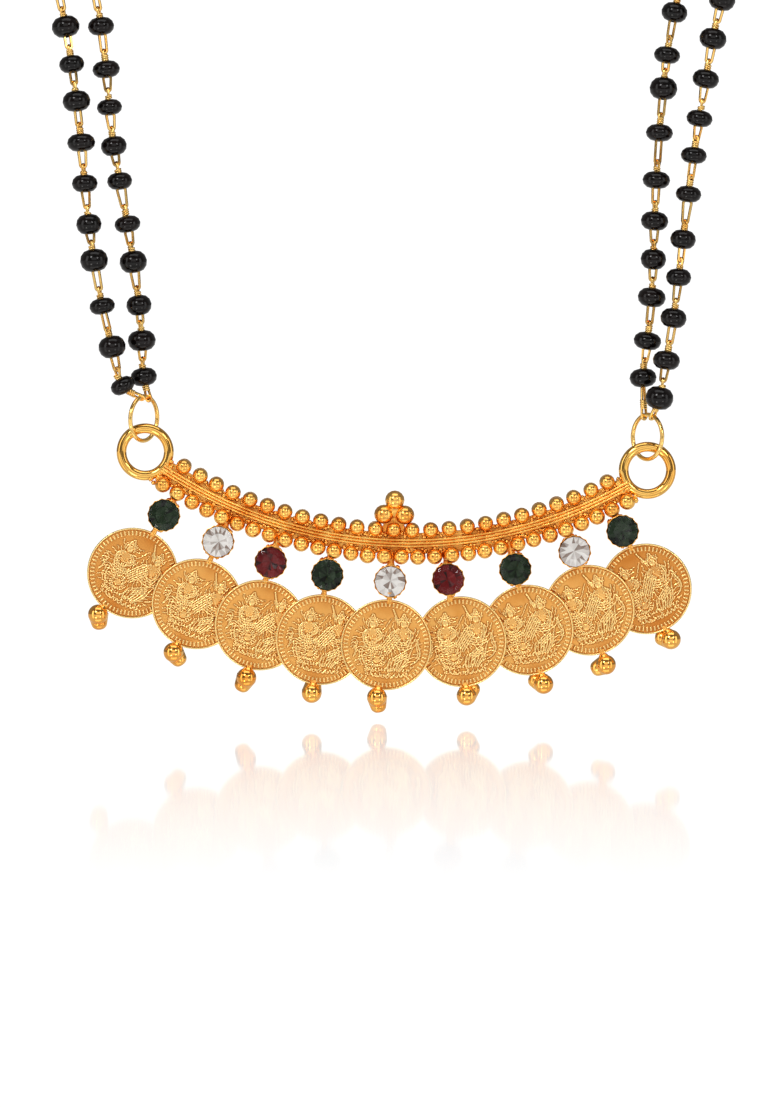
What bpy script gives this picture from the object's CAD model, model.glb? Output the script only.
import math
import random
from collections import namedtuple

import bmesh
import bpy
from bpy.props import FloatProperty, FloatVectorProperty, IntProperty, PointerProperty
from mathutils import Matrix, Vector


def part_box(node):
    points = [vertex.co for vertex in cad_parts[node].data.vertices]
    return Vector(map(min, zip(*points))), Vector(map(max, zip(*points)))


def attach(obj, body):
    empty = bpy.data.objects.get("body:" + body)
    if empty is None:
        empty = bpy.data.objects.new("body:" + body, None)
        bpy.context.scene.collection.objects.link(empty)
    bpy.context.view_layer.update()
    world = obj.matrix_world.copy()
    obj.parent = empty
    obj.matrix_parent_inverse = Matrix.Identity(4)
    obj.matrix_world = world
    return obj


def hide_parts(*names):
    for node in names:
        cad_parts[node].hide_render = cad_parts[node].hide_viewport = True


bl_info = {
    "name": "Temple necklace",
    "version": (1, 0, 0),
    "blender": (4, 5, 0),
    "location": "3D View > Sidebar > Necklace",
    "description": "Bead strings on eye pins, a granulated bar and nine struck coin drops",
    "category": "Add Mesh",
}

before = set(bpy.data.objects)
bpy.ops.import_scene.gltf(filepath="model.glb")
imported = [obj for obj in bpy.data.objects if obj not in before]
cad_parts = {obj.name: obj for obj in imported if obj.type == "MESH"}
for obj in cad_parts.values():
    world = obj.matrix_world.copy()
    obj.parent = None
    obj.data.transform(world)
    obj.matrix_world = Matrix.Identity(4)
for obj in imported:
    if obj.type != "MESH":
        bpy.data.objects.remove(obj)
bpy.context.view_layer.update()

# Lengths below are in metres, and the tables of the coin's relief in millimetres
MM = 0.001
ARC_CENTRE = Vector((0, -105, -62)) * MM
END_RING_ANGLE = math.radians(34.88)
# Turns that take a model's +Z towards the viewer and away
FRONT = Matrix.Rotation(math.radians(90), 4, "X")
BACK = Matrix.Rotation(math.radians(-90), 4, "X")

MIDDLE_DROP = 5
# In millimetres: from the ridge to the middle of a collet and of a coin, and from a coin's edge
# to the middle of its end ball
COLLET_REACH, COIN_REACH, BALL_REACH = 4.15, 11.2, 0.93
# In millimetres: how far coins lie behind the arc's plane. The middle one lies over the others
COIN_DEPTH, MIDDLE_COIN_DEPTH = 0.1, -0.38
# How each drop sits off its even place, left to right: turns in degrees, falls in millimetres
Drop = namedtuple("Drop", "stone_turn stone_fall coin_turn coin_fall ball_turn ball_fall cap_turn")
DROPS = [Drop(*row) for row in (
    (0, 0.15, 0.25, 0.4, -9.5, 0, 46),
    (0.05, 0.05, 0.6, 0.25, -3, 0, 61),
    (-0.35, 0.2, 0.45, 0.15, 1.5, 0.05, -13),
    (-0.6, 0.1, -0.1, 0.25, -0.5, 0.05, 180),
    (-0.2, 0.1, -0.35, 0.05, -7.5, -0.05, 18),
    (-0.4, 0, 0.45, -0.05, 0, 0.05, 134),
    (0.55, 0, 0.5, -0.15, 3, 0.25, -131),
    (0.8, 0, 0.15, -0.4, -2.5, 0.35, -82),
    (-0.1, 0, -0.55, -0.15, 0, 0.27, -126),
)]
NUMBERS = range(1, len(DROPS) + 1)
STONE_FINISHES = ("green_glass", "clear_glass", "ruby_glass", "green_glass", "clear_glass",
                  "ruby_glass", "green_glass", "clear_glass", "green_glass")
# How far the tarnish has gone on the coins that have some
TARNISH = {1: 0.45, 2: 0.1, 9: 0.7}

# Each string's side, left or right, and its lane on the jump ring, outer or inner
STRINGS = {
    "left_outer": (-1, 1),
    "left_inner": (-1, -1),
    "right_inner": (1, -1),
    "right_outer": (1, 1),
}
# The jump ring of each side, and how far its plane is turned from the picture's depth
JUMP_RINGS = {-1: ("left_jump_ring", math.radians(35)), 1: ("right_jump_ring", math.radians(39))}
CLASP_RADIUS = 1.7 * MM
CLASP_RING_RADIUS, CLASP_RING_WIRE, CLASP_RING_PLACE = 1.7 * MM, 0.28 * MM, 4.3 * MM
# Room between two wires that hold each other
WIRE_GAP = 0.02 * MM


# Sizes and colours

class BarSettings(bpy.types.PropertyGroup):
    """Sizes of the curved bar"""
    ridge_radius: FloatProperty(name="Ridge radius", default=0.0486, unit="LENGTH", precision=5,
                                description="Radius of the arc that the middle of the bar follows")
    half_angle: FloatProperty(name="Half angle", default=math.radians(31.8), subtype="ANGLE",
                              description="Angle from the middle of the bar to each end")
    plate_thickness: FloatProperty(name="Plate thickness", default=0.0005, unit="LENGTH", precision=5,
                                   description="Thickness of the plate under the granules")
    ridge_wire_radius: FloatProperty(name="Ridge wire radius", default=0.00017, unit="LENGTH",
                                     precision=5, description="Radius of each wire of the ridge")
    upper_count: IntProperty(name="Upper granules", default=25,
                             description="Number of granules in the upper row")
    lower_count: IntProperty(name="Lower granules", default=30,
                             description="Number of granules in the lower row")
    upper_granule: FloatProperty(name="Upper granule radius", default=0.00077, unit="LENGTH",
                                 precision=5, description="Radius of a granule of the upper row")
    lower_granule: FloatProperty(name="Lower granule radius", default=0.0008, unit="LENGTH",
                                 precision=5, description="Radius of a granule of the lower row")
    crest_granule: FloatProperty(name="Crest granule radius", default=0.00107, unit="LENGTH",
                                 precision=5, description="Radius of a granule of the crest")
    ring_radius: FloatProperty(name="End ring radius", default=0.0026, unit="LENGTH", precision=5,
                               description="Radius of the end ring's centre line")
    ring_wire: FloatProperty(name="End ring wire", default=0.00055, unit="LENGTH", precision=5,
                             description="Radius of the end ring's wire")


class DropSettings(bpy.types.PropertyGroup):
    """Sizes of the stones, coins and end balls"""
    step: FloatProperty(name="Step", default=math.radians(7.14), subtype="ANGLE",
                        description="Angle between two drops")
    stone_radius: FloatProperty(name="Stone radius", default=0.00166, unit="LENGTH", precision=5,
                                description="Radius of a stone's girdle")
    coin_radius: FloatProperty(name="Coin radius", default=0.005, unit="LENGTH", precision=5,
                               description="Radius of a coin")
    coin_thickness: FloatProperty(name="Coin thickness", default=0.00036, unit="LENGTH", precision=5,
                                  description="Thickness of a coin's sheet")
    relief: FloatProperty(name="Relief", default=0.00012, unit="LENGTH", precision=5,
                          description="Height of the struck relief over the sheet")
    lean: FloatProperty(name="Lean", default=math.radians(5), subtype="ANGLE",
                        description="Turn of each coin that lets it lie over its neighbour")
    ball_radius: FloatProperty(name="End ball radius", default=0.0011, unit="LENGTH", precision=5,
                               description="Radius of the ball under each coin")


class StringSettings(bpy.types.PropertyGroup):
    """Sizes of the beads, eye pins and rings"""
    bead_radius: FloatProperty(name="Bead radius", default=0.00145, unit="LENGTH", precision=5,
                               description="Outer radius of a bead of middle size")
    pin_radius: FloatProperty(name="Pin wire radius", default=0.00017, unit="LENGTH", precision=5,
                              description="Radius of the wire of the eye pins")
    loop_half_width: FloatProperty(name="Loop half width", default=0.00046, unit="LENGTH", precision=5,
                                   description="Half width of the long loop under a bead")
    eye_half_width: FloatProperty(name="Eye half width", default=0.00032, unit="LENGTH", precision=5,
                                  description="Half width of the round eye over a bead")
    jump_ring_radius: FloatProperty(name="Jump ring radius", default=0.00245, unit="LENGTH",
                                    precision=5, description="Radius of the jump ring's centre line")
    jump_wire: FloatProperty(name="Jump ring wire", default=0.00024, unit="LENGTH", precision=5,
                             description="Radius of the jump ring's wire")
    seed: IntProperty(name="Seed", default=7, description="Seed of the small turns of pins and beads")


class FinishSettings(bpy.types.PropertyGroup):
    """Colours of the finishes"""
    gold: FloatVectorProperty(name="Gold", subtype="COLOR", size=3, default=(0.95, 0.48, 0.11),
                              description="Plating of the bar, collets and balls")
    granule_gold: FloatVectorProperty(name="Granule gold", subtype="COLOR", size=3,
                                      default=(1.0, 0.54, 0.13), description="Granules and the ridge")
    ring_gold: FloatVectorProperty(name="Ring gold", subtype="COLOR", size=3,
                                   default=(0.92, 0.53, 0.13), description="Thick end rings")
    satin_gold: FloatVectorProperty(name="Satin gold", subtype="COLOR", size=3,
                                    default=(0.93, 0.46, 0.118), description="Field of the coins")
    relief_gold: FloatVectorProperty(name="Relief gold", subtype="COLOR", size=3,
                                     default=(1.0, 0.74, 0.3), description="Raised lines of the coins")
    pale_gold: FloatVectorProperty(name="Pale gold", subtype="COLOR", size=3,
                                   default=(0.95, 0.62, 0.2), description="Eye pins and jump rings")
    black: FloatVectorProperty(name="Black", subtype="COLOR", size=3, default=(0.0025, 0.002, 0.002),
                               description="Glass of the beads")
    green: FloatVectorProperty(name="Green", subtype="COLOR", size=3, default=(0.35, 0.48, 0.26),
                               description="Green stones")
    ruby: FloatVectorProperty(name="Ruby", subtype="COLOR", size=3, default=(0.85, 0.3, 0.3),
                              description="Ruby stones")
    clear: FloatVectorProperty(name="Clear", subtype="COLOR", size=3, default=(0.96, 0.97, 1.0),
                               description="Clear stones")


class StageSettings(bpy.types.PropertyGroup):
    """Camera, floor and light"""
    distance: FloatProperty(name="Distance", default=0.8, unit="LENGTH",
                            description="Distance from the camera to the pendant")
    elevation: FloatProperty(name="Elevation", default=math.radians(2.5), subtype="ANGLE",
                             description="Height of the camera over the horizon")
    roll: FloatProperty(name="Roll", default=math.radians(2.1), subtype="ANGLE",
                        description="Turn of the camera about its own line of sight")
    picture_height: FloatProperty(name="Picture height", default=0.12188, unit="LENGTH",
                                  description="Height of what the picture covers at the pendant")
    floor_height: FloatProperty(name="Floor height", default=-0.13, unit="LENGTH", precision=4,
                                description="Height of the floor, just under the pendant")
    light: FloatProperty(name="Light", default=1.07, description="Brightness of all the lamps")


# Modelling helpers

def settings():
    return bpy.context.scene.necklace


def active():
    return bpy.context.view_layer.objects.active


def start_fresh():
    """Go to object mode with nothing selected, before a primitive is added"""
    if bpy.context.mode != "OBJECT":
        bpy.ops.object.mode_set(mode="OBJECT")
    bpy.ops.object.select_all(action="DESELECT")


def only(obj):
    start_fresh()
    obj.select_set(True)
    bpy.context.view_layer.objects.active = obj


def edit_mode(obj, mode="FACE"):
    only(obj)
    bpy.ops.object.mode_set(mode="EDIT")
    bpy.ops.mesh.select_mode(type=mode)


def object_mode():
    bpy.ops.object.mode_set(mode="OBJECT")


def pick(obj, kind, test):
    """In edit mode, select the faces, edges or verts that pass a test"""
    bpy.ops.mesh.select_all(action="DESELECT")
    mesh = bmesh.from_edit_mesh(obj.data)
    chosen = [element for element in getattr(mesh, kind) if test(element)]
    if not chosen:
        raise RuntimeError(f"nothing to select on {obj.name}")
    for element in chosen:
        element.select_set(True)
    mesh.select_flush_mode()
    bmesh.update_edit_mesh(obj.data)


def resize(x, y, z=1):
    """Scale what is selected about the model's own centre"""
    bpy.ops.transform.resize(value=(x, y, z), center_override=(0, 0, 0))


def turn_about_z(angle):
    bpy.ops.transform.rotate(value=angle, orient_axis="Z", center_override=(0, 0, 0))


def grow(scale, shift=(0, 0, 0)):
    """Extrude what is selected, then scale it about the model's own centre and move it"""
    bpy.ops.mesh.extrude_region_move()
    resize(*scale)
    bpy.ops.transform.translate(value=shift)


def apply_place():
    """Put the place, turn and scale of the new primitive into its mesh"""
    bpy.ops.object.transform_apply(location=True, rotation=True, scale=True)


def outward_normals(obj, merge=1e-7):
    """Merge the vertices that are nearer than a distance, and turn all faces outwards"""
    edit_mode(obj)
    bpy.ops.mesh.select_all(action="SELECT")
    bpy.ops.mesh.remove_doubles(threshold=merge)
    bpy.ops.mesh.normals_make_consistent(inside=False)
    object_mode()


def apply_modifier(obj, kind, **values):
    modifier = obj.modifiers.new(kind.title(), kind)
    for key, value in values.items():
        setattr(modifier, key, value)
    only(obj)
    bpy.ops.object.modifier_apply(modifier=modifier.name)


def soften(obj, width, angle=30):
    """Round the edges that turn by more than an angle in degrees"""
    apply_modifier(obj, "BEVEL", width=width, segments=2, limit_method="ANGLE",
                   angle_limit=math.radians(angle))


def placed_copy(source, matrix):
    copy = source.copy()
    copy.data = source.data.copy()
    copy.data.transform(matrix)
    bpy.context.collection.objects.link(copy)
    return copy


def remove(*objs):
    for obj in objs:
        bpy.data.objects.remove(obj, do_unlink=True)


def joined(objs):
    only(objs[0])
    for obj in objs:
        obj.select_set(True)
    if len(objs) > 1:
        bpy.ops.object.join()
    return active()


def set_out(model, places):
    """Copies of a model at all the places, as one piece. The model itself goes"""
    copies = [placed_copy(model, place) for place in places]
    remove(model)
    return joined(copies)


def finished(obj, name, body, node, materials, smooth=40):
    """Name a piece, give it its finish, and tie it to its body and CAD node"""
    obj.name = obj.data.name = name
    obj.data.materials.clear()
    for material in materials:
        obj.data.materials.append(material)
    only(obj)
    if smooth:
        bpy.ops.object.shade_smooth_by_angle(angle=math.radians(smooth))
    else:
        bpy.ops.object.shade_flat()
    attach(obj, body)
    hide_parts(node)


def finished_gold(obj, name, look, smooth=40):
    """Finish a piece of the pendant's gold"""
    finished(obj, name, "pendant", "pendant", [finish(look)], smooth)


def on_bar(angle, radius, y=0.0):
    """Place on the pendant: an angle round the bar's arc, a radius and a depth"""
    return (Matrix.Translation(ARC_CENTRE) @ Matrix.Rotation(-angle, 4, "Y")
            @ Matrix.Translation((0, y, -radius)))


def end_ring_place(side):
    return on_bar(side * END_RING_ANGLE, settings().bar.ridge_radius - 0.3 * MM)


def tilted(degrees):
    """Turn about the line from front to back, towards the viewer's right at the bottom"""
    return Matrix.Rotation(-math.radians(degrees), 4, "Y")


def on_spoke(number, turn):
    """Arc's centre, turned to a drop's even place and by a small turn of its own"""
    return on_bar((number - MIDDLE_DROP) * settings().drops.step, 0) @ tilted(turn)


def collet_place(number):
    drop = DROPS[number - 1]
    reach = settings().bar.ridge_radius + (COLLET_REACH + drop.stone_fall) * MM
    return on_spoke(number, drop.stone_turn) @ Matrix.Translation((0, 0, -reach))


def coin_place(number):
    """The middle of a coin, before the coin leans"""
    drop = DROPS[number - 1]
    depth = MIDDLE_COIN_DEPTH if number == MIDDLE_DROP else COIN_DEPTH
    reach = settings().bar.ridge_radius + (COIN_REACH + drop.coin_fall) * MM
    return on_spoke(number, drop.coin_turn) @ Matrix.Translation((0, depth * MM, -reach))


def ball_place(number):
    drop = DROPS[number - 1]
    reach = settings().drops.coin_radius + (BALL_REACH + drop.ball_fall) * MM
    return coin_place(number) @ tilted(drop.ball_turn) @ Matrix.Translation((0, 0, -reach))


def swept(profile, half_angle, steps):
    """Turn a profile that stands at the middle of the bar into a sweep along its arc"""
    profile.data.transform(Matrix.Translation(ARC_CENTRE) @ Matrix.Rotation(half_angle, 4, "Y")
                           @ Matrix.Translation(-ARC_CENTRE))
    edit_mode(profile)
    bpy.ops.mesh.select_all(action="SELECT")
    bpy.ops.mesh.spin(steps=steps, angle=2 * half_angle, center=ARC_CENTRE, axis=(0, 1, 0))
    object_mode()
    outward_normals(profile)
    return profile


# Finishes

class Paint:
    """Nodes of a material or world. An input gets a number, a plain colour or a node's output"""

    def __init__(self, owner):
        owner.use_nodes = True
        self.owner, self.tree = owner, owner.node_tree

    def fill(self, node, inputs):
        for name, value in inputs.items():
            socket = node.inputs[name]
            if isinstance(value, bpy.types.NodeSocket):
                self.tree.links.new(value, socket)
            else:
                socket.default_value = (*value, 1.0) if socket.type == "RGBA" else value

    def add(self, kind, inputs, output, **options):
        """Add a node with its options and inputs, and return one of its outputs"""
        node = self.tree.nodes.new(kind)
        for key, value in options.items():
            setattr(node, key, value)
        self.fill(node, inputs)
        return node.outputs[output]

    def surface(self, inputs):
        """Fill the shader that a new material has, and return the material"""
        self.fill(self.tree.nodes["Principled BSDF"], inputs)
        return self.owner

    def place(self, space):
        return self.add("ShaderNodeTexCoord", {}, space)

    def depth(self, space):
        """The coordinate that runs from front to back"""
        return self.add("ShaderNodeSeparateXYZ", {"Vector": self.place(space)}, "Y")

    def noise(self, per_mm, detail=2.0, roughness=0.5):
        """Noise in object space, with its scale in features per millimetre"""
        return self.add("ShaderNodeTexNoise", {"Vector": self.place("Object"), "Scale": per_mm / MM,
                                               "Detail": detail, "Roughness": roughness}, "Fac")

    def attribute(self, name):
        """A value that the mesh carries"""
        return self.add("ShaderNodeAttribute", {}, "Fac", attribute_name=name)

    def spread(self, source, low, high, start=0.0, end=1.0):
        """A value that goes from low to high while the source goes from start to end"""
        return self.add("ShaderNodeMapRange", {"Value": source, "From Min": start, "From Max": end,
                                               "To Min": low, "To Max": high}, "Result")

    def bump(self, height, strength, distance):
        return self.add("ShaderNodeBump", {"Height": height, "Strength": strength,
                                           "Distance": distance}, "Normal")

    def mixed(self, factor, first, second, blend_type="MIX"):
        """A colour that goes over to a second one as the factor rises"""
        return self.add("ShaderNodeMix", {"Factor": factor, "A": first, "B": second}, "Result",
                        data_type="RGBA", blend_type=blend_type)

    def ramp(self, source, stops):
        """Colour ramp from (place, colour) stops"""
        output = self.add("ShaderNodeValToRGB", {"Fac": source}, "Color")
        elements = output.node.color_ramp.elements
        while len(elements) < len(stops):
            elements.new(0.5)
        for element, (place, colour) in zip(elements, stops):
            element.position = place
            element.color = (*colour, 1.0)
        return output


def new_paint(name):
    return Paint(bpy.data.materials.new(name))


def shade(colour, factor):
    return tuple(min(1.0, c * factor) for c in colour)


def tint(colour, factors):
    return tuple(c * factor for c, factor in zip(colour, factors))


def plated_gold(name, colour, rough, grain=(1.2, 0.25, 0.00004), deep=(0.9, 0.72, 0.5)):
    """Gold plate: uneven in tone, slightly pitted, with an orange cast in places"""
    paint = new_paint(name)
    pits_per_mm, pit_strength, pit_depth = grain
    tones = [(0.3, tint(colour, deep)), (0.55, colour), (0.8, shade(colour, 1.08))]
    return paint.surface({
        "Base Color": paint.ramp(paint.noise(0.45, 3.0), tones),
        "Roughness": paint.spread(paint.noise(2.0), *rough),
        "Normal": paint.bump(paint.noise(pits_per_mm, 3.0, 0.6), pit_strength, pit_depth),
        "Metallic": 1.0,
    })


def struck_gold(name, field, lines):
    """Satin coin metal: bright on the raised lines, dark in the corners beside them"""
    paint = new_paint(name)
    dull, pale = tint(field, (0.92, 0.82, 0.7)), tint(field, (1, 1.1, 1.2))
    brown, dirt = tint(field, (0.72, 0.52, 0.36)), tint(field, (0.48, 0.3, 0.18))
    relief = paint.attribute("relief")
    mottled = paint.ramp(paint.noise(0.35, 4.0, 0.65), [(0.3, dull), (0.5, field), (0.72, pale)])
    scorched = paint.mixed(paint.attribute("scorch"), mottled, brown)
    soiled = paint.mixed(paint.spread(relief, 1.0, 0.0, 0.08, 0.41), scorched, dirt)
    return paint.surface({
        "Base Color": paint.mixed(paint.spread(relief, 0.0, 1.0, 0.4, 0.85), soiled, lines),
        "Roughness": paint.spread(relief, 0.45, 0.22),
        "Normal": paint.bump(paint.noise(5.0, 3.0, 0.6), 0.5, 0.00003),
        "Metallic": 1.0,
    })


def bead_glass(name, colour):
    """Opaque pressed glass with faint ripples, warmer in places"""
    paint = new_paint(name)
    tones = [(0.35, colour), (0.75, tint(colour, (2.4, 1.4, 1.3)))]
    return paint.surface({
        "Base Color": paint.ramp(paint.noise(0.6), tones),
        "Roughness": paint.spread(paint.noise(1.5), 0.08, 0.2),
        "Normal": paint.bump(paint.noise(0.8), 0.12, 0.00005),
        "IOR": 1.5,
        "Specular IOR Level": 0.27,
    })


def cut_glass(name, colour):
    """The crown of a cut stone, which the light enters and leaves"""
    paint = new_paint(name)
    return paint.surface({
        "Base Color": paint.ramp(paint.noise(0.6, 1.0), [(0.2, shade(colour, 0.9)), (0.8, colour)]),
        "Normal": paint.bump(paint.noise(1.5, 1.0), 0.05, 0.00002),
        "Transmission Weight": 1.0,
        "Alpha": 0.25,
        "Roughness": 0.0,
        "IOR": 1.6,
        "Specular IOR Level": 0.17,
    })


def foil(name, dark, bright, metallic=0.3):
    """Foil behind a stone's back facets, which differ in brightness from one to the next"""
    paint = new_paint(name)
    middle = tuple((a + b) / 2 for a, b in zip(dark, bright))
    facets = paint.ramp(paint.attribute("sparkle"), [(0.08, dark), (0.22, middle), (0.5, bright)])
    grime = paint.ramp(paint.noise(1.2), [(0.3, (0.88, 0.88, 0.88)), (0.6, (1, 1, 1))])
    return paint.surface({
        "Base Color": paint.mixed(1.0, facets, grime, "MULTIPLY"),
        "Metallic": metallic,
        "Roughness": 0.3,
    })


def make_finish(name):
    s = settings().finish
    # Colour, roughness, grain as (pits per millimetre, strength, depth), and the orange cast
    plated = {
        "polished_gold": (s.gold, (0.2, 0.34)),
        "scorched_gold": (shade(s.gold, 0.9), (0.3, 0.5), (3.0, 0.8, 0.00012), (0.75, 0.5, 0.3)),
        "soldered_gold": (s.gold, (0.2, 0.4), (3.0, 0.8, 0.00012), (0.85, 0.6, 0.35)),
        "granule_gold": (s.granule_gold, (0.16, 0.3), (2.2, 0.35, 0.00005), (0.85, 0.62, 0.4)),
        "ridge_gold": (s.granule_gold, (0.16, 0.3), (3.5, 0.6, 0.00006), (0.8, 0.6, 0.4)),
        "ring_gold": (s.ring_gold, (0.06, 0.13), (0.8, 0.04, 0.00004), (0.95, 0.8, 0.6)),
        "bright_balls": (shade(s.gold, 1.05), (0.08, 0.16), (0.8, 0.2, 0.00005)),
        "pale_gold": (s.pale_gold, (0.12, 0.2), (1.5, 0.04, 0.00003), (1.0, 0.88, 0.7)),
        "wire_gold": (s.pale_gold, (0.15, 0.3), (2.0, 0.2, 0.00003), (0.9, 0.72, 0.5)),
    }
    # Colours of the dark and of the bright facets
    foils = {
        "green_foil": ((0.002, 0.004, 0.002), (0.022, 0.046, 0.02)),
        "clear_foil": ((0.3, 0.22, 0.18), (1, 0.98, 0.95), 0.0),
        "ruby_foil": ((0.03, 0.002, 0.003), (0.22, 0.007, 0.009)),
    }
    if name in plated:
        return plated_gold(name, *plated[name])
    if name in foils:
        return foil(name, *foils[name])
    if name == "struck_gold":
        return struck_gold(name, s.satin_gold, s.relief_gold)
    if name == "black_glass":
        return bead_glass(name, s.black)
    return cut_glass(name, getattr(s, name.removesuffix("_glass")))


FINISHES = {}


def finish(name):
    """Each finish is made once, at its first use"""
    if name not in FINISHES:
        FINISHES[name] = make_finish(name)
    return FINISHES[name]


# Bar

def solder_ball(radius, foot):
    """A granule: a ball whose back is drawn out into a small foot of solder"""
    start_fresh()
    bpy.ops.mesh.primitive_uv_sphere_add(segments=16, ring_count=10, radius=radius)
    ball = active()
    edit_mode(ball)
    pick(ball, "faces", lambda f: f.calc_center_median().z < -0.8 * radius)
    grow((1.25, 1.25, 1), (0, 0, -foot))
    object_mode()
    outward_normals(ball)
    return ball


class NECKLACE_OT_bar(bpy.types.Operator):
    """Sweep the plate and the three wires of the ridge along the bar's arc"""
    bl_idname = "necklace.bar"
    bl_label = "Bar and ridge"

    def execute(self, context):
        s = settings().bar
        self.plate(s)
        core, wire = 0.5 * MM, s.ridge_wire_radius
        # Places outwards and forwards from the ridge's own arc, radius, and corners of the circle
        profiles = [(0, 0, core, 20)]
        profiles += [(i * 1.95 * wire, core + (0.11 - 0.07 * abs(i)) * MM, wire, 12)
                     for i in (-1, 0, 1)]
        wires = []
        for out, front, radius, corners in profiles:
            start_fresh()
            bpy.ops.mesh.primitive_circle_add(
                vertices=corners, radius=radius, fill_type="NGON",
                location=ARC_CENTRE - Vector((0, front, s.ridge_radius + out)),
                rotation=(0, math.radians(90), 0))
            apply_place()
            wires.append(swept(active(), s.half_angle, 128))
        finished_gold(wires[0], "ridge_core", "scorched_gold")
        finished_gold(joined(wires[1:]), "ridge_wires", "ridge_gold")
        return {"FINISHED"}

    def plate(self, s):
        """The plate that carries the granules, under the ridge"""
        inner, outer = s.ridge_radius - 1.1 * MM, s.ridge_radius + 1.2 * MM
        start_fresh()
        bpy.ops.mesh.primitive_plane_add(size=1, rotation=(0, math.radians(90), 0))
        plate = active()
        apply_place()
        plate.data.transform(Matrix.Translation(ARC_CENTRE - Vector((0, 0, (inner + outer) / 2)))
                             @ Matrix.Diagonal((1, s.plate_thickness, outer - inner, 1)))
        swept(plate, s.half_angle, 96)
        soften(plate, 0.0001)
        finished_gold(plate, "bar_plate", "scorched_gold")


class NECKLACE_OT_granules(bpy.types.Operator):
    """Set the upper and lower rows of granules, in a front and a back layer"""
    bl_idname = "necklace.granules"
    bl_label = "Granules"

    def execute(self, context):
        s = settings().bar
        chance = random.Random(3)
        # Number of granules, degrees from the first to the last, radius of the row and of a granule
        rows = {
            "upper_granules": (s.upper_count, 59.1, s.ridge_radius - 1.41 * MM, s.upper_granule),
            "lower_granules": (s.lower_count, 61.2, s.ridge_radius + 1.53 * MM, s.lower_granule),
        }
        for name, (count, sweep, radius, size) in rows.items():
            step = sweep / (count - 1)
            places = []
            for i in range(count):
                angle = math.radians((i - (count - 1) / 2) * step)
                for side, turn in ((-1, FRONT), (1, BACK)):
                    jitter = Matrix.Translation([chance.uniform(-0.03, 0.03) * MM for _ in range(3)])
                    scale = Matrix.Scale(chance.uniform(1.07, 1.13), 4)
                    spin = Matrix.Rotation(chance.uniform(0, math.tau), 4, "Z")
                    places.append(on_bar(angle, radius, side * 0.62 * MM)
                                  @ jitter @ turn @ spin @ scale)
            finished_gold(set_out(solder_ball(size, 0.2 * MM), places), name, "granule_gold")
        self.crumbs(chance)
        return {"FINISHED"}

    def crumbs(self, chance):
        """Small lumps of solder along the ridge, at the tips of the bar and round the collets"""
        start_fresh()
        bpy.ops.mesh.primitive_ico_sphere_add(subdivisions=1, radius=MM)
        places = self.ridge_crumbs(chance) + self.tip_crumbs(chance) + self.collet_crumbs(chance)
        finished_gold(set_out(active(), places), "solder_crumbs", "granule_gold", 60)

    def ridge_crumbs(self, chance, count=260):
        """Crumbs on both sides of the ridge, three in four of them in front"""
        s = settings().bar
        places = []
        for k in range(count):
            angle = (2 * (k + 0.5) / count - 1) * s.half_angle
            for way in (-1, 1):
                place = on_bar(angle + chance.uniform(-0.004, 0.004),
                               s.ridge_radius + way * chance.uniform(0.6, 1.15) * MM,
                               chance.choice((-1, -1, -1, 1)) * chance.uniform(0.24, 0.5) * MM)
                size = chance.uniform(0.12, 0.27)
                places.append(place @ Matrix.Rotation(chance.uniform(0, 6), 4, "Y")
                              @ Matrix.Diagonal((size * 1.3, size, size, 1)))
        return places

    def tip_crumbs(self, chance, count=26):
        """Crumbs where the bar meets each end ring, outside the ring's hole"""
        s = settings().bar
        places = []
        for side in (-1, 1):
            ring = end_ring_place(side).translation
            for _ in range(count):
                angle, way = math.radians(chance.uniform(30.4, 32.4)), chance.uniform(-0.9, 2.0) * MM
                place = on_bar(side * angle, s.ridge_radius + way, chance.uniform(-0.5, -0.1) * MM)
                size = chance.uniform(0.2, 0.42)
                if (place.translation - ring).length > s.ring_radius:
                    places.append(place @ Matrix.Scale(size, 4))
        return places

    def collet_crumbs(self, chance, count=12):
        """Crumbs at the upper sides of each collet, and some under it"""
        places = []
        for number in NUMBERS:
            for _ in range(count):
                turn = chance.choice((-1, 1)) * chance.uniform(0.1, 0.55)
                turn += chance.choice((0, 0, math.pi))
                at = Vector((math.sin(turn), 0, math.cos(turn))) * chance.uniform(1.5, 1.75) * MM
                at.y = chance.uniform(-0.35, 0.3) * MM
                places.append(collet_place(number) @ Matrix.Translation(at)
                              @ Matrix.Scale(chance.uniform(0.2, 0.36), 4))
        return places


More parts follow.
